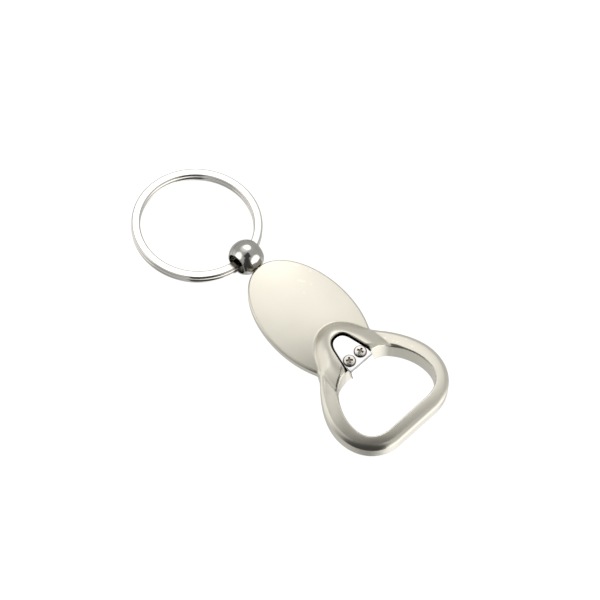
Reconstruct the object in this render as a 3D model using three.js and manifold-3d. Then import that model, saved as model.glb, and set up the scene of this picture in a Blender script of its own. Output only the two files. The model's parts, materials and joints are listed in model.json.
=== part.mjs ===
// A keychain bottle opener: a cast handle with a cap opening and a screwed-in steel lifter plate,
// a swivel ball riveted to the handle's tip, and a flat split ring through the ball.
//
// Millimetres, +Z up. The handle runs along +X, from the ring to the cap opening, and lies on its
// back. Plan positions are measured from the ball's centre; the last lines move the whole group so
// that its origin is under the middle of its bounding box.

import * as THREE from 'three';
import { mergeVertices } from 'three/addons/utils/BufferGeometryUtils.js';
import Module from 'manifold-3d';

// ---- swivel ball, its pin and the split ring ----
const AXIS_HEIGHT = 4.05;          // height of the swivel axis above the table
const BALL_RADIUS = 4.05;
const CROSS_HOLE_RADIUS = 2.5;     // the hole that the split ring runs through
const CROSS_HOLE_EDGE = 0.3;       // bevel round the hole's mouths
const REST_ROLL = -8;              // degrees: how far the ball and ring lie rolled about the handle
const REST_SWING = -2.2;           // degrees: how far the ring's far side droops to the table
const REST_YAW = 10.8;             // degrees: how far the ring lies askew in the wide cross hole
const PIN_RADIUS = 0.65;
const PIN_HEAD_RADIUS = 1.35;
const PIN_HEAD_START = 1.85;       // the head's crown, just clear of the ring
const PIN_HEAD_THICKNESS = 0.5;
const PIN_END = 8.2;
const PIN_SEAT_GAP = 0.1;          // between the head and its seat in the ball
const PIN_CLEARANCE = 0.12;
const PIN_TIP = 0.3;               // bevel at the pin's end
const BALL_CLEARANCE = 0.15;       // between the ball and the hollow seat in the handle's tip
const RING_OUTER_RADIUS = 15;
const RING_WIDTH = 2;              // radial width of the flat wire
const RING_WIRE_HEIGHT = 1.12;     // height of one coil
const RING_COIL_PITCH = 1.2;       // from one coil to the next
const RING_RAMP_ANGLE = 26;        // degrees over which the wire steps from coil to coil
const RING_END_GAP = 2;            // degrees between a wire end and the ramp beside it
const RING_CORNER = 0.25;          // bevel along the wire's corners

// ---- oval handle ----
const OVAL_TIP = 3.9;              // before the ball's seat is cut into it
const OVAL_HALF_LENGTH = 17.2;
const OVAL_HALF_WIDTH = 10.35;
const OVAL_BACK = 2.5;             // height of its flat back
const OVAL_RIM = 4.85;             // height of the rim line under the domed face
const OVAL_RIM_WIDTH = 0.7;
const OVAL_RIM_STEP = 0.12;        // how far the face stands above the rim line
const OVAL_RIM_DROP = 0.18;        // how far the rim's slope has dropped a third of the way down
const OVAL_EDGE = 0.5;             // rounding of the rim and of the back edge
const OVAL_CROWN = 5.75;           // height of the face at its middle
const OVAL_CENTRE = OVAL_TIP + OVAL_HALF_LENGTH;

// ---- opener loop ----
const LOOP_TOP = 6;
const LOOP_END = 55.9;             // outside of the far bar
const LOOP_HALF_WIDTH = 14.8;
const LOOP_WIDEST = 46;            // where the loop is widest
const BAR_HALF_LENGTH = 5.5;       // straight stretch of the far bar
const OPENING_END = 52.75;         // inside of the far bar
const OPENING_HALF_WIDTH = 11.35;
const OPENING_WIDEST = 47;
const OPENING_START = 36.7;        // the casting's front face behind the lifter's lip
const LOOP_EDGE = 1.1;             // rounding of the outer edges on top
const LOOP_UNDER_EDGE = 1.5;       // and underneath
const JUNCTION_X = 32.3;           // the small hollow where the loop leaves the oval
const JUNCTION_Y = 7.9;
const OPENING_EDGE = 0.3;          // bevel round the opening

// ---- arch: the raised pad that holds the lifter plate ----
const ARCH_APEX = 24.8;
const ARCH_TOP = 8.3;
const ARCH_FOOT = 5;               // height where its flank meets the oval
const ARCH_SHOULDER = 2.2;         // plan width of its rounded flank
const RECESS_APEX = 29.1;
const RECESS_FLOOR = 6.6;

// ---- lifter plate and its screws ----
const PLATE_APEX = 29.45;
const PLATE_TOP = 7.7;
const PLATE_THICKNESS = 0.9;
const PLATE_FRONT = 38;            // where the plate turns down into the lip
const PLATE_HALF_WIDTH = 3.35;
const LIP_SLOPE = 75;              // degrees below horizontal
const LIP_DROP = 2.3;
const LIP_BEND = 0.5;              // outside radius of the bend
const SCREW_X = 35.6;
const SCREW_Y = 1.65;
const SCREW_HEAD_RADIUS = 1.3;
const SCREW_HEAD_HEIGHT = 0.4;
const SCREW_SEAT_GAP = 0.05;       // between the head and the plate
const SCREW_TIP = 0.5;             // length of the shank's tapered end
const SCREW_RADIUS = 0.8;
const SCREW_END = 3.2;             // height of the shank's lower end
const SCREW_CLEARANCE = 0.2;
const CROSS_LENGTH = 1.5;
const CROSS_WIDTH = 0.4;
const CROSS_DEPTH = 0.3;

const wasm = await Module();
wasm.setup();
const degrees = THREE.MathUtils.degToRad;

// ---- solids ----

// A closed geometry as a manifold solid: shared corners merged, zero-width triangles dropped.
function solid(geometry) {
  const bare = geometry.clone();
  bare.deleteAttribute('normal');
  bare.deleteAttribute('uv');
  const merged = mergeVertices(bare);
  const corners = merged.index.array;
  const kept = [];
  for (let i = 0; i < corners.length; i += 3) {
    const [a, b, c] = corners.slice(i, i + 3);
    if (a !== b && b !== c && c !== a) {
      kept.push(a, b, c);
    }
  }
  return new wasm.Manifold(new wasm.Mesh({
    numProp: 3,
    vertProperties: new Float32Array(merged.attributes.position.array),
    triVerts: new Uint32Array(kept),
  }));
}

function geometryOf(manifold) {
  const mesh = manifold.getMesh();
  const geometry = new THREE.BufferGeometry();
  geometry.setAttribute('position', new THREE.BufferAttribute(mesh.vertProperties, 3));
  geometry.setIndex(new THREE.BufferAttribute(mesh.triVerts, 1));
  geometry.computeVertexNormals();
  return geometry;
}

// An outline in plan, extruded from one height to another. A bevel draws the top and bottom edges
// in by its size; a negative one flares them out, for a cutter that leaves a bevelled edge.
function slab(outline, bottom, top, bevel = 0, bevelSegments = 1) {
  const edge = Math.abs(bevel);
  const geometry = new THREE.ExtrudeGeometry(outline, {
    depth: top - bottom - 2 * edge,
    bevelEnabled: edge > 0,
    bevelThickness: edge,
    bevelSize: bevel,
    bevelOffset: -bevel,
    bevelSegments,
  });
  geometry.translate(0, 0, bottom + edge);
  return solid(geometry);
}

// A turned solid about the vertical axis. Its profile is a list of [radius, height] that starts
// and ends on the axis, from the bottom up.
function turned(profile, segments = 24) {
  const points = profile.map(([radius, height]) => new THREE.Vector2(radius, height));
  const geometry = new THREE.LatheGeometry(points, segments);
  geometry.rotateX(Math.PI / 2);
  return geometry;
}

function rod(radius, bottom, top, segments = 24) {
  return turned([[0, bottom], [radius, bottom], [radius, top], [0, top]], segments);
}

// Turns a geometry made along +Z so that it points along +X.
function alongX(geometry) {
  return geometry.rotateY(Math.PI / 2);
}

// ---- outlines in plan, each the same on both sides of the X axis ----

// One side's curves start at [startX, 0]. Each is [x, y] for a straight line, or a cubic curve's
// [control x, y, control x, y, end x, y].
function symmetricOutline(startX, curves, divisions = 10) {
  const side = new THREE.Path();
  side.moveTo(startX, 0);
  for (const curve of curves) {
    if (curve.length === 2) {
      side.lineTo(...curve);
    } else {
      side.bezierCurveTo(...curve);
    }
  }
  const points = side.getPoints(divisions);
  const mirrored = points
    .filter((point) => point.y > 0)
    .map((point) => new THREE.Vector2(point.x, -point.y))
    .reverse();
  return new THREE.Shape([...points, ...mirrored]);
}

// The head: the loop's outside, in to the hollow beside the oval, and round the arch's apex.
const headOutline = symmetricOutline(LOOP_END, [
  [LOOP_END, BAR_HALF_LENGTH],
  [LOOP_END, 10.8, 51.8, LOOP_HALF_WIDTH, LOOP_WIDEST, LOOP_HALF_WIDTH],
  [41.7, LOOP_HALF_WIDTH, 38, 12.4, 35, 9.9],
  [34, 9, 33.2, 8.2, JUNCTION_X, JUNCTION_Y],
  [30.5, 6.7],
  [27.6, 5.6, ARCH_APEX, 3.2, ARCH_APEX, 0],
]);

const archOutline = symmetricOutline(ARCH_APEX, [
  [ARCH_APEX, 3.2, 27.6, 5.6, 30.5, 6.7],
  [33, 7.7, 36, 8.1, 39.2, 8.2],
]);

const openingOutline = symmetricOutline(OPENING_END, [
  [OPENING_END, 5],
  [OPENING_END, 9.5, 50.4, OPENING_HALF_WIDTH, OPENING_WIDEST, OPENING_HALF_WIDTH],
  [44, OPENING_HALF_WIDTH, 41, 10, 38.9, 8.1],
  [37.6, 7.2, 37.3, 5.8, 37.1, 4.1],
  [OPENING_START, 3.9],
]);

const recessOutline = symmetricOutline(RECESS_APEX, [
  [RECESS_APEX, 1.4, 29.8, 2.2, 31.4, 2.7],
  [37.1, 4.1],
  [39, 4.5],
]);

const plateOutline = symmetricOutline(PLATE_APEX, [
  [PLATE_APEX, 1.2, 30.1, 1.9, 31.6, 2.3],
  [36, PLATE_HALF_WIDTH],
  [PLATE_FRONT - 1, PLATE_HALF_WIDTH],
]);

// ---- sub-parts ----

// The oval, from its flat back through the rim line to the domed face: a turned solid stretched
// into an ellipse. Radii are fractions of the half length.
function ovalHandle() {
  const rim = OVAL_RIM_WIDTH / OVAL_HALF_WIDTH;
  const edge = OVAL_EDGE / OVAL_HALF_WIDTH;
  const brim = OVAL_RIM + OVAL_RIM_STEP;
  const face = [0.9, 0.8, 0.6, 0.4, 0.2].map((radius) => (
    [radius, brim + (OVAL_CROWN - brim) * (1 - radius ** 2)]
  ));
  const geometry = turned([
    [0, OVAL_BACK],
    [1 - edge, OVAL_BACK],
    [1, OVAL_BACK + OVAL_EDGE],
    [1, OVAL_RIM - OVAL_EDGE],
    [1 - rim / 3, OVAL_RIM - OVAL_RIM_DROP],
    [1 - rim, OVAL_RIM],
    ...face,
    [0, OVAL_CROWN],
  ], 72);
  geometry.scale(OVAL_HALF_LENGTH, OVAL_HALF_WIDTH, 1);
  geometry.translate(OVAL_CENTRE, 0, 0);
  return solid(geometry);
}

// The loop before its opening is cut: two slabs that overlap in height, so that the outer edges are
// rounded more underneath than on top.
function loopPad() {
  const upper = slab(headOutline, LOOP_UNDER_EDGE, LOOP_TOP, LOOP_EDGE, 4);
  const lower = slab(headOutline, 0, LOOP_TOP - LOOP_EDGE, LOOP_UNDER_EDGE, 4);
  return upper.add(lower);
}

// The arch: its outline stands on the loop up to the foot height, then closes in towards the
// opening by a quarter ellipse, up to the crest.
function archPad() {
  const steps = 7;
  const foot = 1 / steps;
  const pad = new THREE.ExtrudeGeometry(archOutline, { depth: 1, steps, bevelEnabled: false });
  const position = pad.attributes.position;
  for (let i = 0; i < position.count; i += 1) {
    const along = position.getZ(i);
    const rise = Math.max(0, along - foot) / (1 - foot) * Math.PI / 2;
    const inset = ARCH_SHOULDER * (1 - Math.cos(rise));
    const shrink = 1 - inset / (OPENING_START - ARCH_APEX);
    const x = OPENING_START + (position.getX(i) - OPENING_START) * shrink;
    const height = ARCH_FOOT + (ARCH_TOP - ARCH_FOOT) * Math.sin(rise);
    position.setXYZ(i, x, position.getY(i) * shrink, along < foot / 2 ? LOOP_UNDER_EDGE : height);
  }
  return solid(pad);
}

// The zinc casting: oval, loop and arch in one, with every hole that is cut into it.
function bodyCasting() {
  const pinBore = alongX(rod(PIN_RADIUS + PIN_CLEARANCE, 0, PIN_END + PIN_CLEARANCE));
  pinBore.translate(0, 0, AXIS_HEIGHT);
  const ballSeat = new THREE.SphereGeometry(BALL_RADIUS + BALL_CLEARANCE, 48, 32);
  ballSeat.translate(0, 0, AXIS_HEIGHT);
  let casting = ovalHandle()
    .add(loopPad())
    .add(archPad())
    .subtract(slab(openingOutline, -OPENING_EDGE, LOOP_TOP + OPENING_EDGE, -2 * OPENING_EDGE))
    .subtract(slab(openingOutline, -1, ARCH_TOP + 1))
    .subtract(slab(recessOutline, RECESS_FLOOR, ARCH_TOP + 1))
    .subtract(solid(pinBore))
    .subtract(solid(ballSeat));
  for (const side of [-1, 1]) {
    const hole = rod(SCREW_RADIUS + SCREW_CLEARANCE, SCREW_END - SCREW_CLEARANCE, ARCH_TOP);
    hole.translate(SCREW_X, side * SCREW_Y, 0);
    casting = casting.subtract(solid(hole));
  }
  return geometryOf(casting);
}

// The bent front of the lifter plate, drawn in side view and extruded across the handle.
function lifterLip() {
  const slope = degrees(LIP_SLOPE);
  const along = new THREE.Vector2(Math.cos(slope), -Math.sin(slope));
  const outward = new THREE.Vector2(Math.sin(slope), Math.cos(slope));
  const bend = new THREE.Vector2(PLATE_FRONT - LIP_BEND, PLATE_TOP - LIP_BEND);
  const length = LIP_DROP / Math.sin(slope);
  const outerFoot = bend.clone().addScaledVector(outward, LIP_BEND).addScaledVector(along, length);
  const innerFoot = outerFoot.clone().addScaledVector(outward, -PLATE_THICKNESS);
  const underside = PLATE_TOP - PLATE_THICKNESS;
  const innerHead = innerFoot.clone().addScaledVector(along, (underside - innerFoot.y) / along.y);
  const side = new THREE.Shape();
  side.moveTo(SCREW_X, PLATE_TOP);
  side.absarc(bend.x, bend.y, LIP_BEND, Math.PI / 2, Math.PI / 2 - slope, true);
  side.lineTo(outerFoot.x, outerFoot.y);
  side.lineTo(innerFoot.x, innerFoot.y);
  side.lineTo(innerHead.x, underside);
  side.lineTo(SCREW_X, underside);
  const geometry = new THREE.ExtrudeGeometry(side, {
    depth: 2 * PLATE_HALF_WIDTH,
    bevelEnabled: false,
    curveSegments: 6,
  });
  geometry.rotateX(Math.PI / 2);
  geometry.translate(0, PLATE_HALF_WIDTH, 0);
  return solid(geometry);
}

function lifterPlate() {
  const underside = PLATE_TOP - PLATE_THICKNESS;
  let steel = slab(plateOutline, underside, PLATE_TOP);
  // The lip piece starts at the screws, where the plate is a little narrower than at its front.
  steel = steel.add(lifterLip().intersect(slab(lipOutline(), 0, PLATE_TOP + 1)));
  for (const side of [-1, 1]) {
    const hole = rod(SCREW_RADIUS + SCREW_CLEARANCE, underside - 1, PLATE_TOP + 1);
    hole.translate(SCREW_X, side * SCREW_Y, 0);
    steel = steel.subtract(solid(hole));
  }
  return geometryOf(steel);
}

// The plan area that the lip may fill: the plate's own width where it starts.
function lipOutline() {
  const reach = PLATE_FRONT + LIP_DROP;
  return symmetricOutline(SCREW_X + 0.3, [
    [SCREW_X + 0.3, PLATE_HALF_WIDTH - 0.1],
    [SCREW_X + 1, PLATE_HALF_WIDTH],
    [reach, PLATE_HALF_WIDTH],
    [reach, 0],
  ]);
}

// A round-headed cross-recess screw, upright, with its seat at height 0.
function screw() {
  const head = SCREW_HEAD_RADIUS;
  const body = solid(turned([
    [0, SCREW_END - PLATE_TOP],
    [SCREW_RADIUS * 0.6, SCREW_END - PLATE_TOP],
    [SCREW_RADIUS, SCREW_END - PLATE_TOP + SCREW_TIP],
    [SCREW_RADIUS, 0],
    [head, 0],
    [head, SCREW_HEAD_HEIGHT * 0.45],
    [head * 0.85, SCREW_HEAD_HEIGHT * 0.85],
    [head * 0.6, SCREW_HEAD_HEIGHT],
    [0, SCREW_HEAD_HEIGHT],
  ]));
  const arm = new THREE.BoxGeometry(CROSS_LENGTH, CROSS_WIDTH, 2 * CROSS_DEPTH);
  arm.translate(0, 0, SCREW_HEAD_HEIGHT);
  const cross = solid(arm).add(solid(arm.clone().rotateZ(Math.PI / 2)));
  return geometryOf(body.subtract(cross));
}

// The ball about its own centre: the cross hole along Y for the ring, and along +X the bore for the
// pin with a flat seat for its head.
function swivelBall() {
  const mouth = CROSS_HOLE_RADIUS + CROSS_HOLE_EDGE;
  const edge = Math.sqrt(BALL_RADIUS ** 2 - mouth ** 2);
  const crossHole = turned([
    [0, -BALL_RADIUS],
    [mouth + CROSS_HOLE_EDGE, -BALL_RADIUS],
    [mouth, -edge],
    [CROSS_HOLE_RADIUS, CROSS_HOLE_EDGE - edge],
    [CROSS_HOLE_RADIUS, edge - CROSS_HOLE_EDGE],
    [mouth, edge],
    [mouth + CROSS_HOLE_EDGE, BALL_RADIUS],
    [0, BALL_RADIUS],
  ], 32);
  crossHole.rotateX(Math.PI / 2);
  const seat = PIN_HEAD_START + PIN_HEAD_THICKNESS + PIN_SEAT_GAP;
  const ball = solid(new THREE.SphereGeometry(BALL_RADIUS, 40, 24))
    .subtract(solid(crossHole))
    .subtract(solid(alongX(rod(PIN_RADIUS + PIN_CLEARANCE, 0, BALL_RADIUS + 1))))
    .subtract(solid(alongX(rod(PIN_HEAD_RADIUS + PIN_CLEARANCE, 1, seat))));
  return geometryOf(ball);
}

// The headed pin that holds the ball on the handle, from the crown of its head along +X.
function swivelPin() {
  const underHead = PIN_HEAD_START + PIN_HEAD_THICKNESS;
  return geometryOf(solid(alongX(turned([
    [0, PIN_HEAD_START],
    [PIN_HEAD_RADIUS * 0.75, PIN_HEAD_START + PIN_HEAD_THICKNESS * 0.16],
    [PIN_HEAD_RADIUS, PIN_HEAD_START + PIN_HEAD_THICKNESS * 0.5],
    [PIN_HEAD_RADIUS, underHead],
    [PIN_RADIUS, underHead],
    [PIN_RADIUS, PIN_END - PIN_TIP],
    [PIN_RADIUS - PIN_TIP, PIN_END],
    [0, PIN_END],
  ]))));
}

// The split ring about its own centre: a flat wire of two coils that lie on each other. The wire
// steps down from the upper coil to the lower one in a short ramp, between its two ends, and the
// ramp lies at angle 0.
function splitRing() {
  const turn = 2 * Math.PI;
  const ramp = degrees(RING_RAMP_ANGLE);
  const endGap = degrees(RING_END_GAP);
  const start = ramp / 2 + endGap;
  const end = 2 * turn - ramp / 2 - endGap;
  const radius = RING_OUTER_RADIUS - RING_WIDTH / 2;
  const steps = 132;
  const section = new THREE.Shape();
  const across = RING_WIDTH / 2;
  const up = RING_WIRE_HEIGHT / 2;
  const corner = RING_CORNER;
  section.moveTo(corner - across, -up);
  section.lineTo(across - corner, -up);
  section.lineTo(across, corner - up);
  section.lineTo(across, up - corner);
  section.lineTo(across - corner, up);
  section.lineTo(corner - across, up);
  section.lineTo(-across, up - corner);
  section.lineTo(-across, corner - up);
  const geometry = new THREE.ExtrudeGeometry(section, { depth: 1, steps, bevelEnabled: false });
  const position = geometry.attributes.position;
  for (let i = 0; i < position.count; i += 1) {
    const angle = start + (end - start) * position.getZ(i);
    const stepped = THREE.MathUtils.smoothstep(angle, turn - ramp / 2, turn + ramp / 2);
    const reach = radius - position.getX(i);
    const height = position.getY(i) + RING_COIL_PITCH * (0.5 - stepped);
    position.setXYZ(i, reach * Math.cos(angle), reach * Math.sin(angle), height);
  }
  return geometryOf(solid(geometry));
}

// ---- assembly ----

const satinNickel = { color: 0xcfcbc2, roughness: 0.38, metalness: 1 };
const mirrorNickel = { color: 0xd8d6d2, roughness: 0.08, metalness: 1 };
const blackNickel = { color: 0x9b9892, roughness: 0.1, metalness: 1 };
const polishedSteel = { color: 0xdcdcda, roughness: 0.15, metalness: 1 };
const screwSteel = { color: 0xb9b3a8, roughness: 0.3, metalness: 1 };

function piece(name, geometry, finish) {
  const mesh = new THREE.Mesh(geometry, new THREE.MeshStandardMaterial(finish));
  mesh.name = name;
  return mesh;
}

const handle = new THREE.Group();
handle.add(piece('body_casting', bodyCasting(), satinNickel));
handle.add(piece('lifter_plate', lifterPlate(), polishedSteel));

const pin = piece('swivel_pin', swivelPin(), screwSteel);
pin.position.z = AXIS_HEIGHT;
handle.add(pin);

const screwGeometry = screw();
for (const [name, side, turn] of [['screw_left', 1, 20], ['screw_right', -1, 55]]) {
  const fastener = piece(name, screwGeometry.clone(), screwSteel);
  fastener.position.set(SCREW_X, side * SCREW_Y, PLATE_TOP + SCREW_SEAT_GAP);
  fastener.rotation.z = degrees(turn);
  handle.add(fastener);
}

const swivel = new THREE.Group();
swivel.position.z = AXIS_HEIGHT;
swivel.rotation.x = degrees(REST_ROLL);
swivel.add(piece('swivel_ball', swivelBall(), blackNickel));

// The ring swings about the cross hole and lies askew in it.
const swing = new THREE.Group();
swing.rotation.set(0, degrees(REST_SWING), degrees(REST_YAW), 'YZX');
const ring = piece('split_ring', splitRing(), mirrorNickel);
ring.position.x = RING_WIDTH / 2 - RING_OUTER_RADIUS;
swing.add(ring);
swivel.add(swing);

const opener = new THREE.Group();
opener.add(handle, swivel);
const middle = new THREE.Box3().setFromObject(opener, true).getCenter(new THREE.Vector3());
opener.position.set(-middle.x, -middle.y, 0);

export default opener;
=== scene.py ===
"""A keychain bottle opener: satin nickel casting, steel lifter plate and screws, a black nickel
swivel ball and a bright split ring.

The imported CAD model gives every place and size. Each CAD node is replaced by a finer mesh of the
same piece. Lengths below are in millimetres, measured as the CAD source measures them: plan
positions from the ball's centre, +X towards the cap opening, heights from the table.
"""

import json
import math

import bpy
import numpy as np
from mathutils import Matrix, Vector


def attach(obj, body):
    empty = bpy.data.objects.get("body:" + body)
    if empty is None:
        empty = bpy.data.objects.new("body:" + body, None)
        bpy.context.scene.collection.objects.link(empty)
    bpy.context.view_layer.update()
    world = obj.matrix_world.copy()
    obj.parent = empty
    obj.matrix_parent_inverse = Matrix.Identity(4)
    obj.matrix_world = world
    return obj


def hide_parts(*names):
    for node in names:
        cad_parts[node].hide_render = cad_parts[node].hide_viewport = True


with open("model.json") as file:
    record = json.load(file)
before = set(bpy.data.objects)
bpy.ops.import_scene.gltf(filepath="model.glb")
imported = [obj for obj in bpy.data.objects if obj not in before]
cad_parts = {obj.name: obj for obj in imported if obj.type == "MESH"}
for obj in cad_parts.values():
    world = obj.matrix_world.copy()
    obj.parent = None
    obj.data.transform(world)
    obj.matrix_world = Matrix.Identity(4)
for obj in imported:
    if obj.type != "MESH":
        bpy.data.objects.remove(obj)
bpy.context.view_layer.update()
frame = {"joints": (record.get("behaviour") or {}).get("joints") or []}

MM = 0.001
joints = {joint["name"]: joint for joint in frame["joints"]}
BALL_CENTRE = Vector(joints["ball_swivel"]["pos_m"])
SWING_AXIS = Vector(joints["ring_swing"]["axis"])

# ---- driving dimensions ----
# As in the CAD source, apart from what is refined here: the arch's foot and flank, the loop's top,
# which domes and dips beside the oval, the domed screw heads, the rounding of edges, and the
# outlines of the recess, the plate and the opening beside the lip.
AXIS_HEIGHT = 4.05
BALL_RADIUS = 4.05
CROSS_HOLE_RADIUS = 2.5
REST_SWING = math.radians(-2.2)
REST_YAW = math.radians(10.8)
REST_ROLL = math.atan2(SWING_AXIS.z, SWING_AXIS.y)
PIN_RADIUS = 0.65
PIN_HEAD_RADIUS = 1.35
PIN_HEAD_START = 1.85
PIN_HEAD_THICKNESS = 0.5
PIN_END = 8.2
PIN_CLEARANCE = 0.12
BALL_CLEARANCE = 0.15
RING_OUTER_RADIUS = 15
RING_WIDTH = 2
RING_WIRE_HEIGHT = 1.12
RING_COIL_PITCH = 1.2
RING_RAMP_ANGLE = math.radians(26)
RING_END_GAP = math.radians(2)
RING_CORNER = 0.42

OVAL_HALF_LENGTH = 17.2
OVAL_HALF_WIDTH = 10.35
OVAL_CENTRE = 21.1
OVAL_BACK = 2.5
OVAL_RIM = 4.85
OVAL_CROWN = 5.75
OVAL_RIM_STEP = 0.15

LOOP_TOP = 6
LOOP_END = 55.9
LOOP_HALF_WIDTH = 14.8
LOOP_WIDEST = 46
LOOP_DIP = 1.2
LOOP_CROWN = 0.045
OPENING_END = 52.75
OPENING_HALF_WIDTH = 11.35
OPENING_START = 36.7
LOOP_EDGE = 1.1
LOOP_UNDER_EDGE = 1.5
OPENING_EDGE = 0.3
SCALLOP_EDGE = 0.8

ARCH_APEX = 24.8
ARCH_TOP = 8.3
ARCH_FOOT = 5.1
ARCH_SHOULDER = 4.2
ARCH_BULGE = 1.9
RECESS_APEX = 29.1
RECESS_FLOOR = 6.6
RECESS_EDGE = 0.3

PLATE_APEX = 29.45
PLATE_TOP = 7.7
PLATE_GAP = 0.03
PLATE_THICKNESS = 0.9
PLATE_FRONT = 38
PLATE_HALF_WIDTH = 3.35
LIP_SLOPE = math.radians(75)
LIP_DROP = 2.3
LIP_BEND = 0.5
SCREW_X = 35.6
SCREW_Y = 1.65
SCREW_HEAD_RADIUS = 1.3
SCREW_HEAD_HEIGHT = 0.4
SCREW_SEAT_GAP = 0.05
SCREW_SEAT = PLATE_TOP + SCREW_SEAT_GAP
SCREW_DOME = 0.04
SCREW_RADIUS = 0.8
SCREW_END = 3.2
SCREW_CLEARANCE = 0.2
SCREW_TURNS = {"screw_left": math.radians(20), "screw_right": math.radians(55)}
CROSS_LENGTH = 1.5
CROSS_WIDTH = 0.4
CROSS_DEPTH = 0.3


# ---- outlines in plan ----

def bezier(start, curve, divisions):
    """The points after start along a cubic curve given as control x, y, control x, y, end x, y."""
    p = np.array([start, curve[0:2], curve[2:4], curve[4:6]], float)
    t = np.linspace(0, 1, divisions + 1)[1:, None]
    s = 1 - t
    return s**3 * p[0] + 3 * s * s * t * p[1] + 3 * s * t * t * p[2] + t**3 * p[3]


def half_outline(start_x, curves, divisions=48):
    """One side of an outline, from the point (start_x, 0). Each curve is x, y for a line, or a
    cubic curve."""
    points = [np.array([[start_x, 0.0]])]
    for curve in curves:
        if len(curve) == 2:
            points.append(np.array([curve], float))
        else:
            points.append(bezier(points[-1][-1], curve, divisions))
    return np.concatenate(points)


def both_sides(half):
    """Closes a half outline with its mirror image across the X axis."""
    mirrored = half[half[:, 1] > 1e-9][::-1] * [1, -1]
    return np.concatenate([half, mirrored])


HEAD_OUTLINE = both_sides(half_outline(LOOP_END, [
    (LOOP_END, 5.5),
    (LOOP_END, 10.8, 51.8, LOOP_HALF_WIDTH, LOOP_WIDEST, LOOP_HALF_WIDTH),
    (41.7, LOOP_HALF_WIDTH, 38, 12.4, 35, 9.9),
    (34, 9, 33.2, 8.2, 32.3, 7.9),
    (30.5, 6.7),
    (27.6, 5.6, ARCH_APEX, 3.2, ARCH_APEX, 0),
]))
ARCH_OUTLINE = both_sides(half_outline(ARCH_APEX, [
    (ARCH_APEX, 3.2, 27.6, 5.6, 30.5, 6.7),
    (33, 7.7, 36, 8.1, 39.2, 8.2),
]))
OPENING_OUTLINE = both_sides(half_outline(OPENING_END, [
    (OPENING_END, 5),
    (OPENING_END, 9.5, 50.4, OPENING_HALF_WIDTH, 47, OPENING_HALF_WIDTH),
    (44, OPENING_HALF_WIDTH, 41, 10, 38.9, 8.1),
    (37.6, 7.2, 37.1, 5.6, 36.9, 4.6),
    (OPENING_START, 3.6),
]))
RECESS_OUTLINE = both_sides(half_outline(RECESS_APEX, [
    (RECESS_APEX, 1.4, 29.8, 2.15, 31.4, 2.62),
    (37.1, 3.95),
    (39, 4.35),
]))
OVAL_OUTLINE = np.array([
    (OVAL_CENTRE + OVAL_HALF_LENGTH * math.cos(turn), OVAL_HALF_WIDTH * math.sin(turn))
    for turn in np.linspace(0, 2 * math.pi, 240, endpoint=False)
])


# ---- signed distances, negative inside ----

def plan_distance(outline, x, y):
    """Distance in plan from points to a closed outline."""
    nearest = np.full(x.shape, np.inf)
    inside = np.zeros(x.shape, bool)
    for (ax, ay), (bx, by) in zip(outline, np.roll(outline, -1, axis=0)):
        dx, dy = bx - ax, by - ay
        t = np.clip(((x - ax) * dx + (y - ay) * dy) / (dx * dx + dy * dy), 0, 1)
        nearest = np.minimum(nearest, (x - ax - t * dx) ** 2 + (y - ay - t * dy) ** 2)
        if ay != by:
            crosses = (ay > y) != (by > y)
            inside ^= crosses & (x < ax + (y - ay) * dx / dy)
    return np.where(inside, -1, 1) * np.sqrt(nearest)


def meet(a, b, radius):
    """What is inside both a and b, with the edge between them rounded."""
    corner = np.hypot(np.maximum(a + radius, 0), np.maximum(b + radius, 0))
    return np.minimum(-radius, np.maximum(a, b)) + corner


def join(a, b, radius):
    """What is inside a or b, with a fillet between them."""
    return -meet(-a, -b, radius)


def cut(a, b, radius):
    """a without b, with its new edge rounded."""
    return meet(a, -b, radius)


def ease(low, high, value):
    t = np.clip((value - low) / (high - low), 0, 1)
    return t * t * (3 - 2 * t)


# ---- meshes from a signed distance ----

class PlanGrid:
    """Plan distances to the casting's outlines, worked out once on a grid and read between its
    points by cubic interpolation."""

    OUTLINES = {
        "oval": OVAL_OUTLINE,
        "head": HEAD_OUTLINE,
        "arch": ARCH_OUTLINE,
        "opening": OPENING_OUTLINE,
        "recess": RECESS_OUTLINE,
    }

    def __init__(self, x, y):
        self.x, self.y = x, y
        half = y >= 0
        gx, gy = np.meshgrid(x, y[half], indexing="ij")
        self.grids = {}
        for name, outline in self.OUTLINES.items():
            upper = plan_distance(outline, gx, gy)
            self.grids[name] = np.concatenate([upper[:, :0:-1], upper], axis=1)

    def on_grid(self):
        plan = {name: grid[:, :, None] for name, grid in self.grids.items()}
        plan["x"] = self.x[:, None, None]
        plan["y"] = self.y[None, :, None]
        return plan

    def at(self, x, y):
        u = (x - self.x[0]) / (self.x[1] - self.x[0])
        v = (y - self.y[0]) / (self.y[1] - self.y[0])
        i = np.clip(np.floor(u).astype(int), 1, len(self.x) - 3)
        j = np.clip(np.floor(v).astype(int), 1, len(self.y) - 3)
        wu, wv = cubic_weights(u - i), cubic_weights(v - j)
        plan = {"x": x, "y": y}
        for name, grid in self.grids.items():
            total = 0
            for a in range(4):
                for b in range(4):
                    total = total + wu[a] * wv[b] * grid[i + a - 1, j + b - 1]
            plan[name] = total
        return plan


def cubic_weights(t):
    return (
        ((-0.5 * t + 1) * t - 0.5) * t,
        (1.5 * t - 2.5) * t * t + 1,
        ((-1.5 * t + 2) * t + 0.5) * t,
        (0.5 * t - 0.5) * t * t,
    )


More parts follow.
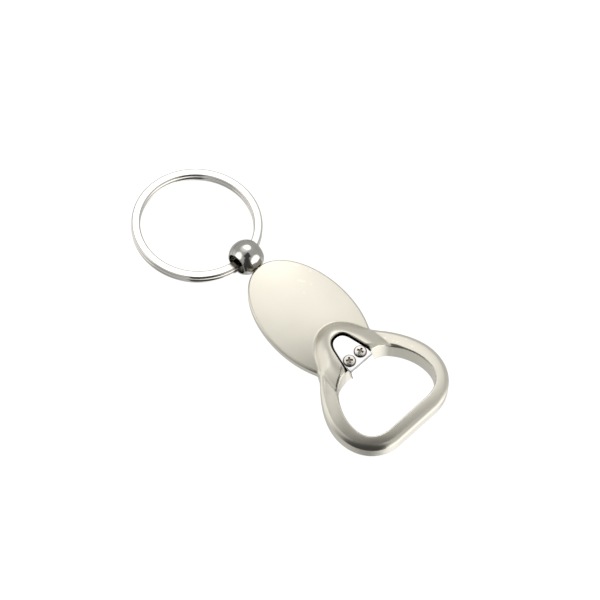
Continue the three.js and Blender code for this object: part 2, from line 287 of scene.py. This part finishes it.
def surface_net(values, axes):
    """Points and four-sided faces of the zero surface of values on a grid."""
    inside = values < 0
    cells = tuple(n - 1 for n in values.shape)
    corners = [(a, b, c) for a in (0, 1) for b in (0, 1) for c in (0, 1)]
    count = np.zeros(cells, np.int8)
    for a, b, c in corners:
        count += inside[a:a + cells[0], b:b + cells[1], c:c + cells[2]]
    active = np.argwhere((count > 0) & (count < 8))
    number = np.full(cells, -1, np.int32)
    number[tuple(active.T)] = np.arange(len(active))

    total = np.zeros((len(active), 3))
    crossings = np.zeros(len(active))
    for first in corners:
        for axis in range(3):
            if first[axis]:
                continue
            step = np.eye(3, dtype=int)[axis]
            start = active + first
            v0 = values[tuple(start.T)]
            v1 = values[tuple((start + step).T)]
            crossed = (v0 < 0) != (v1 < 0)
            share = np.where(crossed, v0 / np.where(crossed, v0 - v1, 1), 0)
            total += crossed[:, None] * (np.array(first) + share[:, None] * step)
            crossings += crossed
    local = active + total / crossings[:, None]
    origin = np.array([axis[0] for axis in axes])
    spacing = np.array([axis[1] - axis[0] for axis in axes])

    faces = []
    for axis in range(3):
        b, c = (axis + 1) % 3, (axis + 2) % 3
        shifted = np.roll(inside, -1, axis=axis)
        crossed = inside != shifted
        last = [slice(None)] * 3
        last[axis] = -1
        crossed[tuple(last)] = False
        edges = np.argwhere(crossed)
        edges = edges[(edges[:, b] > 0) & (edges[:, c] > 0)]
        edges = edges[(edges[:, b] < cells[b]) & (edges[:, c] < cells[c])]
        around = []
        for back_b, back_c in ((1, 1), (0, 1), (0, 0), (1, 0)):
            cell = edges.copy()
            cell[:, b] -= back_b
            cell[:, c] -= back_c
            around.append(number[tuple(cell.T)])
        quads = np.stack(around, axis=1)
        outward = inside[tuple(edges.T)]
        faces.append(np.where(outward[:, None], quads, quads[:, ::-1]))
    return origin + local * spacing, np.concatenate(faces)


def gradient(field, points, reach=0.02):
    """Value and gradient of field at points, by differences over a short reach."""
    slope = []
    for axis in range(3):
        step = np.eye(3)[axis] * reach
        slope.append(field(points + step) - field(points - step))
    return field(points), np.stack(slope, axis=1) / (2 * reach)


def settle(field, points, cell, rounds=3):
    """Moves points onto the zero surface of field. Returns them with their unit normals."""
    for _ in range(rounds):
        value, slope = gradient(field, points)
        steep = np.maximum((slope**2).sum(axis=1), 0.25)
        step = np.clip(value / steep, -0.5 * cell, 0.5 * cell)
        points = points - step[:, None] * slope
    slope = gradient(field, points)[1]
    return points, slope / np.maximum(np.linalg.norm(slope, axis=1), 1e-6)[:, None]


HANDLE_PLACE = Matrix.Translation((BALL_CENTRE.x, BALL_CENTRE.y, 0))
BALL_PLACE = Matrix.Translation(BALL_CENTRE) @ Matrix.Rotation(REST_ROLL, 4, "X")
RING_MIDDLE = RING_OUTER_RADIUS - RING_WIDTH / 2
RING_PLACE = (
    BALL_PLACE
    @ Matrix.Rotation(REST_SWING, 4, "Y")
    @ Matrix.Rotation(REST_YAW, 4, "Z")
    @ Matrix.Translation((-RING_MIDDLE * MM, 0, 0))
)


def mesh_object(name, points, faces, normals=None, place=HANDLE_PLACE):
    """A smooth-shaded object from points in millimetres."""
    mesh = bpy.data.meshes.new(name)
    mesh.from_pydata((np.asarray(points) * MM).tolist(), [], np.asarray(faces).tolist())
    mesh.shade_smooth()
    if normals is not None:
        mesh.normals_split_custom_set_from_vertices(normals.tolist())
    return placed(name, mesh, place)


def mark(piece, painted_shade):
    """Stores on each point how much painted shade darkens its colour, from 0 to 1."""
    attribute = piece.data.attributes.new("painted_shade", "FLOAT", "POINT")
    attribute.data.foreach_set("value", np.asarray(painted_shade, np.float32))


def placed(name, mesh, place):
    """An object whose mesh is turned and moved into the row frame."""
    mesh.transform(place)
    piece = bpy.data.objects.new(name, mesh)
    bpy.context.scene.collection.objects.link(piece)
    return piece


def netted(name, field, low, high, cell, place=HANDLE_PLACE, painted_shade=None):
    """The surface of a signed distance inside a box, as an object. field takes points, and so does the
    function that gives the painted shade on them.
    """
    axes = [np.arange(a - 2 * cell, b + 3 * cell, cell) for a, b in zip(low, high)]
    corners = np.stack(np.meshgrid(*axes, indexing="ij"), axis=-1)
    values = field(corners.reshape(-1, 3)).reshape(corners.shape[:3])
    points, faces = surface_net(values, axes)
    points, normals = settle(field, points, cell)
    piece = mesh_object(name, points, faces, normals, place)
    if painted_shade:
        mark(piece, painted_shade(points))
    return piece


# ---- casting ----

def casting_field(plan, z):
    """Signed distance to the casting: the oval, the loop and the arch in one, and its cuts."""
    x, y = plan["x"], plan["y"]
    inward = ease(30.5, 33.5, x)

    span = ((x - OVAL_CENTRE) / OVAL_HALF_LENGTH) ** 2 + (y / OVAL_HALF_WIDTH) ** 2
    face = OVAL_RIM + OVAL_RIM_STEP + (OVAL_CROWN - OVAL_RIM - OVAL_RIM_STEP) * (1 - span)
    oval = meet(plan["oval"], z - face, 0.45)
    oval = meet(oval, OVAL_BACK - z, 0.5)

    outward = np.maximum(plan["opening"], 0)
    loop_top = LOOP_TOP - LOOP_DIP * (1 - inward) - LOOP_CROWN * outward**2 * ease(33, 42, x)
    loop = meet(plan["head"], z - loop_top, LOOP_EDGE)
    loop = meet(loop, -z, LOOP_UNDER_EDGE)

    foot = ARCH_FOOT + (LOOP_TOP - 0.1 - ARCH_FOOT) * inward
    climb = np.clip(-plan["arch"] / ARCH_SHOULDER, 0, 1)
    rise = ARCH_TOP - foot
    arch_top = foot + rise * (1 - (1 - climb) ** ARCH_BULGE)
    slope = ARCH_BULGE * rise / ARCH_SHOULDER * (1 - climb) ** (ARCH_BULGE - 1)
    steepness = np.sqrt(1 + slope**2)
    arch = meet(plan["arch"], (z - arch_top) / steepness, 0.2)
    arch = meet(arch, LOOP_UNDER_EDGE - z, 0.2)

    body = join(oval, loop, 0.5)
    body = join(body, arch, 0.35)
    scallop = ease(42, 38.5, x) * ease(5, 6, z)
    body = cut(body, plan["opening"], OPENING_EDGE + (SCALLOP_EDGE - OPENING_EDGE) * scallop)
    body = cut(body, meet(plan["recess"], RECESS_FLOOR - z, 0.15), RECESS_EDGE)

    height = z - AXIS_HEIGHT
    seat = np.sqrt(x * x + y * y + height * height) - BALL_RADIUS - BALL_CLEARANCE
    body = cut(body, seat, 0.18)
    bore = np.hypot(y, height) - PIN_RADIUS - PIN_CLEARANCE
    body = np.maximum(body, -np.maximum(bore, x - PIN_END - PIN_CLEARANCE))
    hole = np.hypot(x - SCREW_X, np.abs(y) - SCREW_Y) - SCREW_RADIUS - SCREW_CLEARANCE
    return np.maximum(body, -np.maximum(hole, SCREW_END - SCREW_CLEARANCE - z))


def body_casting():
    cell = 0.165
    x = np.arange(-0.5, LOOP_END + 5 * cell, cell)
    side = np.arange(0, LOOP_HALF_WIDTH + 5 * cell, cell)
    y = np.concatenate([-side[:0:-1], side])
    z = np.arange(0.003 - 3 * cell, ARCH_TOP + 4 * cell, cell)
    grid = PlanGrid(x, y)
    values = casting_field(grid.on_grid(), z[None, None, :])
    points, faces = surface_net(values, (x, y, z))
    points, normals = settle(lambda p: casting_field(grid.at(p[:, 0], p[:, 1]), p[:, 2]), points, cell)
    piece = mesh_object("casting", points, faces, normals)
    x, y, z = points.T
    # Painted shade: darkens the recess floor and walls under the lifter plate.
    mark(piece, ease(0.08, 0, grid.at(x, y)["recess"]) * ease(6.2, 6.5, z))
    return piece


# ---- lifter plate ----

PLATE_OUTLINE = both_sides(half_outline(PLATE_APEX, [
    (PLATE_APEX, 1.2, 30.05, 1.95, 31.6, 2.4),
    (36, 3.42),
    (PLATE_FRONT + LIP_DROP, PLATE_HALF_WIDTH),
], divisions=24))


def segment_distance(x, z, start, end):
    along = end - start
    t = np.clip(((x - start[0]) * along[0] + (z - start[1]) * along[1]) / (along @ along), 0, 1)
    return np.hypot(x - start[0] - t * along[0], z - start[1] - t * along[1])


def lifter_field(points):
    """The bent strip in side view, cut to the plate's outline, with two screw holes."""
    x, y, z = points.T
    half = PLATE_THICKNESS / 2
    back = np.array([PLATE_APEX - 2, PLATE_TOP - half])
    bend = np.array([PLATE_FRONT - LIP_BEND, PLATE_TOP - half])
    down = np.array([math.cos(LIP_SLOPE), -math.sin(LIP_SLOPE)])
    foot = LIP_DROP / math.sin(LIP_SLOPE)
    strip = segment_distance(x, z, back, bend)
    strip = np.minimum(strip, segment_distance(x, z, bend, bend + 3 * foot * down)) - half
    reach = (x - bend[0]) * down[0] + (z - bend[1]) * down[1] - foot
    plate = meet(strip, reach, 0.15)
    plate = meet(plate, plan_distance(PLATE_OUTLINE, x, y) + PLATE_GAP, 0.2)
    hole = np.hypot(x - SCREW_X, np.abs(y) - SCREW_Y) - SCREW_RADIUS - SCREW_CLEARANCE
    return cut(plate, hole, 0.1)


def lifter_painted_shade(points):
    """Painted shade: a dark ring on the plate round each screw head."""
    x, y = points.T[:2]
    from_screw = np.hypot(x - SCREW_X, np.abs(y) - SCREW_Y)
    return ease(SCREW_HEAD_RADIUS + 0.26, SCREW_HEAD_RADIUS + 0.12, from_screw)


def lifter_plate():
    low = (PLATE_APEX, -PLATE_HALF_WIDTH, PLATE_TOP - LIP_DROP - 1)
    high = (PLATE_FRONT + 1, PLATE_HALF_WIDTH, PLATE_TOP)
    return netted("lifter", lifter_field, low, high, 0.09, painted_shade=lifter_painted_shade)


# ---- screws ----

def screw_field(points):
    """Pan head with a cross recess on a plain shank, seated at height 0."""
    x, y, z = points.T
    radius = np.hypot(x, y)
    head = meet(radius - SCREW_HEAD_RADIUS, z - SCREW_HEAD_HEIGHT + SCREW_DOME * radius**2, 0.15)
    head = meet(head, -z, 0.06)
    shank = meet(radius - SCREW_RADIUS, SCREW_END - SCREW_SEAT - z, 0.3)
    body = join(head, meet(shank, z - 0.2, 0.05), 0.05)
    return cut(body, cross_recess(x, y, z), 0.06)


def cross_recess(x, y, z):
    lift = z - SCREW_HEAD_HEIGHT
    wide = CROSS_WIDTH / 2 + 0.12 * lift
    long = CROSS_LENGTH / 2 + 0.5 * lift
    arm_x = np.maximum(np.abs(x) - long, np.abs(y) - wide)
    arm_y = np.maximum(np.abs(y) - long, np.abs(x) - wide)
    return np.maximum(join(arm_x, arm_y, 0.12), -CROSS_DEPTH - lift)


def screw_painted_shade(points):
    """Painted shade in the cross recess and under the head's edge."""
    x, y, z = points.T
    recess = ease(0.1, 0, cross_recess(x, y, z))
    skirt = ease(SCREW_HEAD_RADIUS - 0.12, SCREW_HEAD_RADIUS, np.hypot(x, y))
    return np.maximum(0.8 * recess, 0.7 * skirt)


def screw(name, side):
    place = HANDLE_PLACE @ Matrix.Translation(Vector((SCREW_X, side * SCREW_Y, SCREW_SEAT)) * MM)
    low = (-SCREW_HEAD_RADIUS, -SCREW_HEAD_RADIUS, SCREW_END - SCREW_SEAT)
    high = (SCREW_HEAD_RADIUS, SCREW_HEAD_RADIUS, SCREW_HEAD_HEIGHT)
    turn = Matrix.Rotation(SCREW_TURNS[name], 4, "Z")
    return netted(name + "_metal", screw_field, low, high, 0.05, place @ turn, screw_painted_shade)


# ---- swivel ball and pin ----

def ball_field(points):
    """The ball about its centre: its cross hole runs along Y and its pin bore along +X."""
    x, y, z = points.T
    ball = np.sqrt(x * x + y * y + z * z) - BALL_RADIUS
    ball = cut(ball, np.hypot(x, z) - CROSS_HOLE_RADIUS, 0.3)
    about = np.hypot(y, z)
    bore = np.maximum(about - PIN_RADIUS - PIN_CLEARANCE, -x)
    head_end = PIN_HEAD_START + PIN_HEAD_THICKNESS + 0.1
    seat = np.maximum(about - PIN_HEAD_RADIUS - PIN_CLEARANCE, np.maximum(1 - x, x - head_end))
    return cut(cut(ball, seat, 0.1), bore, 0.1)


def swivel_ball():
    reach = (BALL_RADIUS,) * 3
    low = tuple(-r for r in reach)
    return netted("ball", ball_field, low, reach, 0.085, BALL_PLACE)


def pin_field(points):
    x, y, z = points.T
    about = np.hypot(y, z)
    crown = PIN_HEAD_START + 0.1 * about**2
    head = meet(about - PIN_HEAD_RADIUS, crown - x, 0.12)
    head = meet(head, x - PIN_HEAD_START - PIN_HEAD_THICKNESS, 0.06)
    shank = meet(about - PIN_RADIUS, x - PIN_END, 0.25)
    return np.minimum(head, np.maximum(shank, PIN_HEAD_START + 0.2 - x))


def swivel_pin():
    place = Matrix.Translation(BALL_CENTRE)
    low = (PIN_HEAD_START, -PIN_HEAD_RADIUS, -PIN_HEAD_RADIUS)
    high = (PIN_END, PIN_HEAD_RADIUS, PIN_HEAD_RADIUS)
    return netted("pin", pin_field, low, high, 0.07, place)


# ---- split ring ----

def rounded_section(across, up, corner, segments=5):
    """Points and outward normals round a rectangle with rounded corners."""
    points, normals = [], []
    for quarter, (side, top) in enumerate(((1, 1), (-1, 1), (-1, -1), (1, -1))):
        for k in range(segments + 1):
            turn = math.pi / 2 * (quarter + k / segments)
            normal = np.array([math.cos(turn), math.sin(turn)])
            points.append(np.array([side * (across - corner), top * (up - corner)]) + corner * normal)
            normals.append(normal)
    return np.array(points), np.array(normals)


def split_ring():
    """Flat wire of two coils that lie on each other. It steps from the upper coil to the lower
    one in a short ramp at angle 0, between its two ends, inside the ball."""
    full = 2 * math.pi
    start = RING_RAMP_ANGLE / 2 + RING_END_GAP
    end = 2 * full - start
    section, section_normals = rounded_section(RING_WIDTH / 2, RING_WIRE_HEIGHT / 2, RING_CORNER)
    size = len(section)
    rings, normals = [], []
    for angle in np.linspace(start, end, 721):
        stepped = ease(full - RING_RAMP_ANGLE / 2, full + RING_RAMP_ANGLE / 2, angle)
        radial = np.array([math.cos(angle), math.sin(angle), 0])
        upward = np.array([0, 0, 1.0])
        centre = RING_MIDDLE * radial + RING_COIL_PITCH * (0.5 - stepped) * upward
        rings.append([centre + a * radial + b * upward for a, b in section])
        normals.append([a * radial + b * upward for a, b in section_normals])
    faces = []
    for i in range(len(rings) - 1):
        for j in range(size):
            k = (j + 1) % size
            faces.append((i * size + j, (i + 1) * size + j, (i + 1) * size + k, i * size + k))
    points = np.array(rings).reshape(-1, 3)
    caps = [range(size), range((len(rings) - 1) * size, len(rings) * size)]
    mesh = bpy.data.meshes.new("ring")
    faces += [tuple(caps[0]), tuple(caps[1])[::-1]]
    mesh.from_pydata((points * MM).tolist(), [], faces)
    mesh.shade_smooth()
    mesh.update()
    corner_normals = np.array(normals).reshape(-1, 3)[[v for face in faces for v in face]]
    for face in mesh.polygons[-2:]:
        for corner in face.loop_indices:
            corner_normals[corner] = face.normal
    mesh.normals_split_custom_set(corner_normals.tolist())
    return placed("ring", mesh, RING_PLACE)


# ---- materials ----

def node_tree(name):
    material = bpy.data.materials.new(name)
    material.use_nodes = True
    return material, material.node_tree, material.node_tree.nodes["Principled BSDF"]


def add(tree, kind, values=None, **settings):
    node = tree.nodes.new(kind)
    for key, value in settings.items():
        setattr(node, key, value)
    for key, value in (values or {}).items():
        node.inputs[key].default_value = value
    return node


def ramp(tree, source, low, high, out_low, out_high):
    node = add(tree, "ShaderNodeMapRange", {
        "From Min": low, "From Max": high, "To Min": out_low, "To Max": out_high,
    })
    tree.links.new(source, node.inputs["Value"])
    return node.outputs["Result"]


def maths(tree, operation, a, b):
    node = add(tree, "ShaderNodeMath", operation=operation)
    for socket, value in zip(node.inputs, (a, b)):
        if isinstance(value, (int, float)):
            socket.default_value = value
        else:
            tree.links.new(value, socket)
    return node.outputs[0]


def tint(tree, factor, dark, light):
    node = add(tree, "ShaderNodeMix", data_type="RGBA")
    node.inputs["A"].default_value = (*dark, 1)
    node.inputs["B"].default_value = (*light, 1)
    tree.links.new(factor, node.inputs["Factor"])
    return node.outputs["Result"]


def noise(tree, scale, detail=2, stretch=(1, 1, 1)):
    """Noise over the object's own coordinates, in metres, stretched along its axes."""
    coordinates = add(tree, "ShaderNodeTexCoord")
    mapping = add(tree, "ShaderNodeMapping", {"Scale": stretch})
    texture = add(tree, "ShaderNodeTexNoise", {"Scale": scale, "Detail": detail})
    tree.links.new(coordinates.outputs["Object"], mapping.inputs["Vector"])
    tree.links.new(mapping.outputs["Vector"], texture.inputs["Vector"])
    return texture.outputs["Fac"]


def bumped(tree, shader, height, strength, distance):
    bump = add(tree, "ShaderNodeBump", {"Strength": strength, "Distance": distance})
    tree.links.new(height, bump.inputs["Height"])
    tree.links.new(bump.outputs["Normal"], shader.inputs["Normal"])


def with_painted_shade(tree, shader, colour, shade_colour):
    """Gives the shader its colour, darkened towards a painted shade colour where the mesh is marked
    with painted shade.
    """
    painted_shade = add(tree, "ShaderNodeAttribute", attribute_name="painted_shade")
    result = tint(tree, painted_shade.outputs["Fac"], (1, 1, 1), shade_colour)
    tree.links.new(colour, result.node.inputs["A"])
    tree.links.new(result, shader.inputs["Base Color"])


def satin_nickel():
    """Pearl nickel: a fine blasted grain, soft clouding, edges rubbed a little brighter, and painted
    shade that leaves creases and hollows darker than the flats.
    """
    material, tree, shader = node_tree("satin_nickel")
    shader.inputs["Metallic"].default_value = 1
    clouds = noise(tree, 140, 3)
    grain = noise(tree, 5200, 2)
    geometry = add(tree, "ShaderNodeNewGeometry")
    # Pointiness lightens the colour on convex edges, as wear, and leaves it darker in creases and
    # hollows, as painted shade.
    edge = ramp(tree, geometry.outputs["Pointiness"], 0.47, 0.56, 0, 1)
    shade = maths(tree, "MULTIPLY_ADD", clouds, 0.35)
    shade.node.inputs[2].default_value = 0.1
    shade = maths(tree, "ADD", shade, maths(tree, "MULTIPLY", edge, 0.5))
    colour = tint(tree, shade, (0.60, 0.573, 0.495), (0.74, 0.707, 0.61))
    # Painted shade, dark brown, where the casting is marked: in the recess under the plate.
    with_painted_shade(tree, shader, colour, (0.045, 0.037, 0.028))
    base = ramp(tree, clouds, 0.3, 0.7, 0.30, 0.37)
    rough = maths(tree, "SUBTRACT", base, maths(tree, "MULTIPLY", edge, 0.06))
    tree.links.new(rough, shader.inputs["Roughness"])
    bumped(tree, shader, grain, 0.25, 0.000012)
    return material


def steel(name, dark, light, smooth, rough, scratches=(1, 1, 1), strength=0.06):
    """Plated or polished steel: faint tarnish, streaked roughness, hairline scratches."""
    material, tree, shader = node_tree(name)
    shader.inputs["Metallic"].default_value = 1
    colour = tint(tree, ramp(tree, noise(tree, 300, 3), 0.35, 0.65, 0, 1), dark, light)
    # Painted shade where the mesh is marked: round the screw heads on the plate, and in the screws'
    # cross recesses and under their heads.
    with_painted_shade(tree, shader, colour, (0.10, 0.07, 0.05))
    streaks = noise(tree, 2600, 3, scratches)
    tree.links.new(ramp(tree, streaks, 0.35, 0.7, smooth, rough), shader.inputs["Roughness"])
    bumped(tree, shader, streaks, strength, 0.000006)
    return material


def ring_nickel():
    """Bright nickel with hairlines that run round the ring, as its wire was drawn, and painted shade
    on the wire inside the ball.
    """
    material, tree, shader = node_tree("ring_nickel")
    shader.inputs["Metallic"].default_value = 1
    coordinates = add(tree, "ShaderNodeTexCoord")
    to_ring = add(tree, "ShaderNodeMapping", {
        "Location": RING_PLACE.translation,
        "Rotation": RING_PLACE.to_euler(),
    }, vector_type="TEXTURE")
    parts = add(tree, "ShaderNodeSeparateXYZ")
    tree.links.new(coordinates.outputs["Object"], to_ring.inputs["Vector"])
    tree.links.new(to_ring.outputs["Vector"], parts.inputs["Vector"])
    squares = [maths(tree, "MULTIPLY", parts.outputs[axis], parts.outputs[axis]) for axis in "XY"]
    radius = maths(tree, "SQRT", maths(tree, "ADD", *squares), 0)
    angle = maths(tree, "ARCTAN2", parts.outputs["Y"], parts.outputs["X"])
    turned = add(tree, "ShaderNodeCombineXYZ")
    tree.links.new(radius, turned.inputs["X"])
    tree.links.new(maths(tree, "MULTIPLY", angle, 0.0004), turned.inputs["Y"])
    tree.links.new(parts.outputs["Z"], turned.inputs["Z"])
    hairlines = add(tree, "ShaderNodeTexNoise", {"Scale": 9000, "Detail": 3})
    tree.links.new(turned.outputs["Vector"], hairlines.inputs["Vector"])
    lines = hairlines.outputs["Fac"]
    unshaded = tint(tree, noise(tree, 260, 2), (0.62, 0.603, 0.56), (0.70, 0.68, 0.63))
    # Painted shade: the wire darkens where it runs through the ball's cross hole, most towards the
    # hole's -Y mouth.
    mouth = BALL_PLACE @ Vector((0, -1.2 * MM, 0))
    off_ball = add(tree, "ShaderNodeVectorMath", {1: mouth}, operation="DISTANCE")
    tree.links.new(coordinates.outputs["Object"], off_ball.inputs[0])
    painted_shade = ramp(tree, off_ball.outputs["Value"], 4.1 * MM, 3.4 * MM, 0, 1)
    colour = tint(tree, painted_shade, (1, 1, 1), (0.05, 0.045, 0.035))
    tree.links.new(unshaded, colour.node.inputs["A"])
    tree.links.new(colour, shader.inputs["Base Color"])
    tree.links.new(ramp(tree, lines, 0.3, 0.75, 0.09, 0.2), shader.inputs["Roughness"])
    bumped(tree, shader, lines, 0.05, 0.000006)
    return material


# ---- pieces ----

def take(piece, node, body, material):
    """piece stands for a CAD node, moves with its body and has its finish."""
    piece.data.materials.append(material)
    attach(piece, body)
    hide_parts(node)


polished = steel("polished_steel", (0.68, 0.68, 0.67), (0.78, 0.78, 0.775), 0.08, 0.16, (1, 0.15, 1))
screw_metal = steel("screw_steel", (0.58, 0.55, 0.50), (0.70, 0.675, 0.63), 0.14, 0.26)
black_nickel = steel("black_nickel", (0.40, 0.387, 0.36), (0.46, 0.447, 0.415), 0.14, 0.2)

take(body_casting(), "body_casting", "handle", satin_nickel())
take(lifter_plate(), "lifter_plate", "handle", polished)
take(swivel_pin(), "swivel_pin", "handle", screw_metal)
take(screw("screw_left", 1), "screw_left", "handle", screw_metal)
take(screw("screw_right", -1), "screw_right", "handle", screw_metal)
take(swivel_ball(), "swivel_ball", "ball", black_nickel)
take(split_ring(), "split_ring", "ring", ring_nickel())

# ---- camera ----

CAMERA_TARGET = Vector((BALL_CENTRE.x + 14.82 * MM, BALL_CENTRE.y + 2.86 * MM, 0))
CAMERA_DISTANCE = 0.5
CAMERA_AZIMUTH = math.radians(46.86)
CAMERA_ELEVATION = math.radians(65.71)


def direction(azimuth, elevation):
    """Unit vector from the object, at an azimuth anticlockwise from -Y and an elevation."""
    level = math.cos(elevation)
    return Vector((math.sin(azimuth) * level, -math.cos(azimuth) * level, math.sin(elevation)))


camera_data = bpy.data.cameras.new("camera")
camera_data.lens = 132
camera_data.sensor_width = 36
camera_data.clip_start = 0.01
camera = bpy.data.objects.new("camera", camera_data)
bpy.context.scene.collection.objects.link(camera)
toward_camera = direction(CAMERA_AZIMUTH, CAMERA_ELEVATION)
camera.location = CAMERA_TARGET + CAMERA_DISTANCE * toward_camera
camera.rotation_euler = (-toward_camera).to_track_quat("-Z", "Y").to_euler()
bpy.context.scene.camera = camera

# ---- floor and light ----

def disc(name, radius, height, albedo, glow):
    """A matt disc under the object that also gives a little light of its own."""
    mesh = bpy.data.meshes.new(name)
    turns = np.linspace(0, 2 * math.pi, 65)[:-1]
    rim = [(radius * math.cos(t), radius * math.sin(t), height) for t in turns]
    mesh.from_pydata(rim, [], [tuple(range(len(rim)))])
    piece = bpy.data.objects.new(name, mesh)
    bpy.context.scene.collection.objects.link(piece)
    material, _, shader = node_tree(name)
    shader.inputs["Base Color"].default_value = (albedo, albedo, albedo, 1)
    shader.inputs["Roughness"].default_value = 1
    shader.inputs["Specular IOR Level"].default_value = 0
    shader.inputs["Emission Color"].default_value = (1, 1, 1, 1)
    shader.inputs["Emission Strength"].default_value = glow
    mesh.materials.append(material)
    return piece


# The metal mirrors the studio below the horizon, and not the white floor that shows.
floor = disc("floor", 3, -0.00005, 0.16, 0.97)
floor.visible_glossy = False


def softbox(name, azimuth, elevation, distance, diameter, radiance, lit=None):
    """A round light that faces the ball. Azimuth is from the camera's, to its right. lit is the
    collection that it lights, or None for everything."""
    data = bpy.data.lights.new(name, "AREA")
    data.shape = "DISK"
    data.size = diameter
    data.energy = radiance * math.pi ** 2 / 4 * diameter ** 2
    light = bpy.data.objects.new(name, data)
    bpy.context.scene.collection.objects.link(light)
    toward = direction(CAMERA_AZIMUTH + math.radians(azimuth), math.radians(elevation))
    light.location = BALL_CENTRE + distance * toward
    light.rotation_euler = toward.to_track_quat("Z", "Y").to_euler()
    light.visible_camera = False
    light.light_linking.receiver_collection = lit
    return light


ball_only = bpy.data.collections.new("ball_only")
ball_only.objects.link(bpy.data.objects["ball"])
softbox("back_light", -172, 46, 0.2, 0.085, 0.8)
softbox("left_light", -82, 34, 0.2, 0.08, 0.9)
softbox("right_light", 72, 2, 0.3, 0.1, 0.8)
softbox("ball_back_light", 168, 47, 0.2, 0.14, 1.5, ball_only)
softbox("ball_left_light", -79, 40, 0.2, 0.17, 1.7, ball_only)
softbox("ball_right_light", 62, 8, 0.2, 0.26, 2.0, ball_only)

black, _, shader = node_tree("black_card")
shader.inputs["Base Color"].default_value = (0.02, 0.02, 0.02, 1)
shader.inputs["Emission Color"].default_value = (1, 1, 1, 1)
shader.inputs["Emission Strength"].default_value = 0.04
shader.inputs["Roughness"].default_value = 1
shader.inputs["Specular IOR Level"].default_value = 0


def flag(name, centre, towards, width, height):
    """A dark card, seen only in the metal. centre and towards are right, towards the camera, up;
    centre is from the ball."""
    right = direction(CAMERA_AZIMUTH + math.pi / 2, 0)
    near = direction(CAMERA_AZIMUTH, 0)
    mesh = bpy.data.meshes.new(name)
    corners = [(-width, -height, 0), (width, -height, 0), (width, height, 0), (-width, height, 0)]
    mesh.from_pydata([Vector(corner) * MM / 2 for corner in corners], [], [(0, 1, 2, 3)])
    card = bpy.data.objects.new(name, mesh)
    bpy.context.scene.collection.objects.link(card)
    offset = centre[0] * right + centre[1] * near + Vector((0, 0, centre[2]))
    card.location = BALL_CENTRE + offset * MM
    facing = towards[0] * right + towards[1] * near + Vector((0, 0, towards[2]))
    card.rotation_euler = facing.to_track_quat("Z", "Y").to_euler()
    card.data.materials.append(black)
    card.visible_camera = False
    card.visible_diffuse = False
    card.visible_shadow = False


flag("front_flag", (15, 76, 28), (0, -1, 0), 72, 190)
flag("top_flag", (20, 40, 116), (0, 0, -1), 78, 84)

world = bpy.data.worlds.new("studio")
bpy.context.scene.world = world
world.use_nodes = True
sky = world.node_tree
background = sky.nodes["Background"]
background.inputs["Color"].default_value = (1, 1, 1, 1)
seen = add(sky, "ShaderNodeTexCoord")


def lobe(azimuth, elevation, inner, outer):
    """1 within inner degrees of a direction of the sky, falling to 0 at outer degrees."""
    axis = direction(CAMERA_AZIMUTH + math.radians(azimuth), math.radians(elevation))
    dot = add(sky, "ShaderNodeVectorMath", operation="DOT_PRODUCT")
    sky.links.new(seen.outputs["Generated"], dot.inputs[0])
    dot.inputs[1].default_value = axis
    node = add(sky, "ShaderNodeMapRange", {
        "From Min": math.cos(math.radians(outer)),
        "From Max": math.cos(math.radians(inner)),
    }, interpolation_type="SMOOTHSTEP")
    sky.links.new(dot.outputs["Value"], node.inputs["Value"])
    return node.outputs["Result"]


GLOWS = [(-170, 55, 12, 34, 0.8), (-92, -8, 10, 42, 0.6), (56, -38, 16, 46, 1.1)]
SHADES = [(-48, -10, 20, 46, 0.5)]

level = 0.7
for azimuth, elevation, inner, outer, amount in GLOWS:
    glow = maths(sky, "MULTIPLY", lobe(azimuth, elevation, inner, outer), amount)
    level = maths(sky, "ADD", level, glow)
for azimuth, elevation, inner, outer, amount in SHADES:
    shade = maths(sky, "MULTIPLY", lobe(azimuth, elevation, inner, outer), amount)
    level = maths(sky, "MULTIPLY", level, maths(sky, "SUBTRACT", 1, shade))
sky.links.new(level, background.inputs["Strength"])

bpy.context.scene.view_settings.view_transform = "Standard"
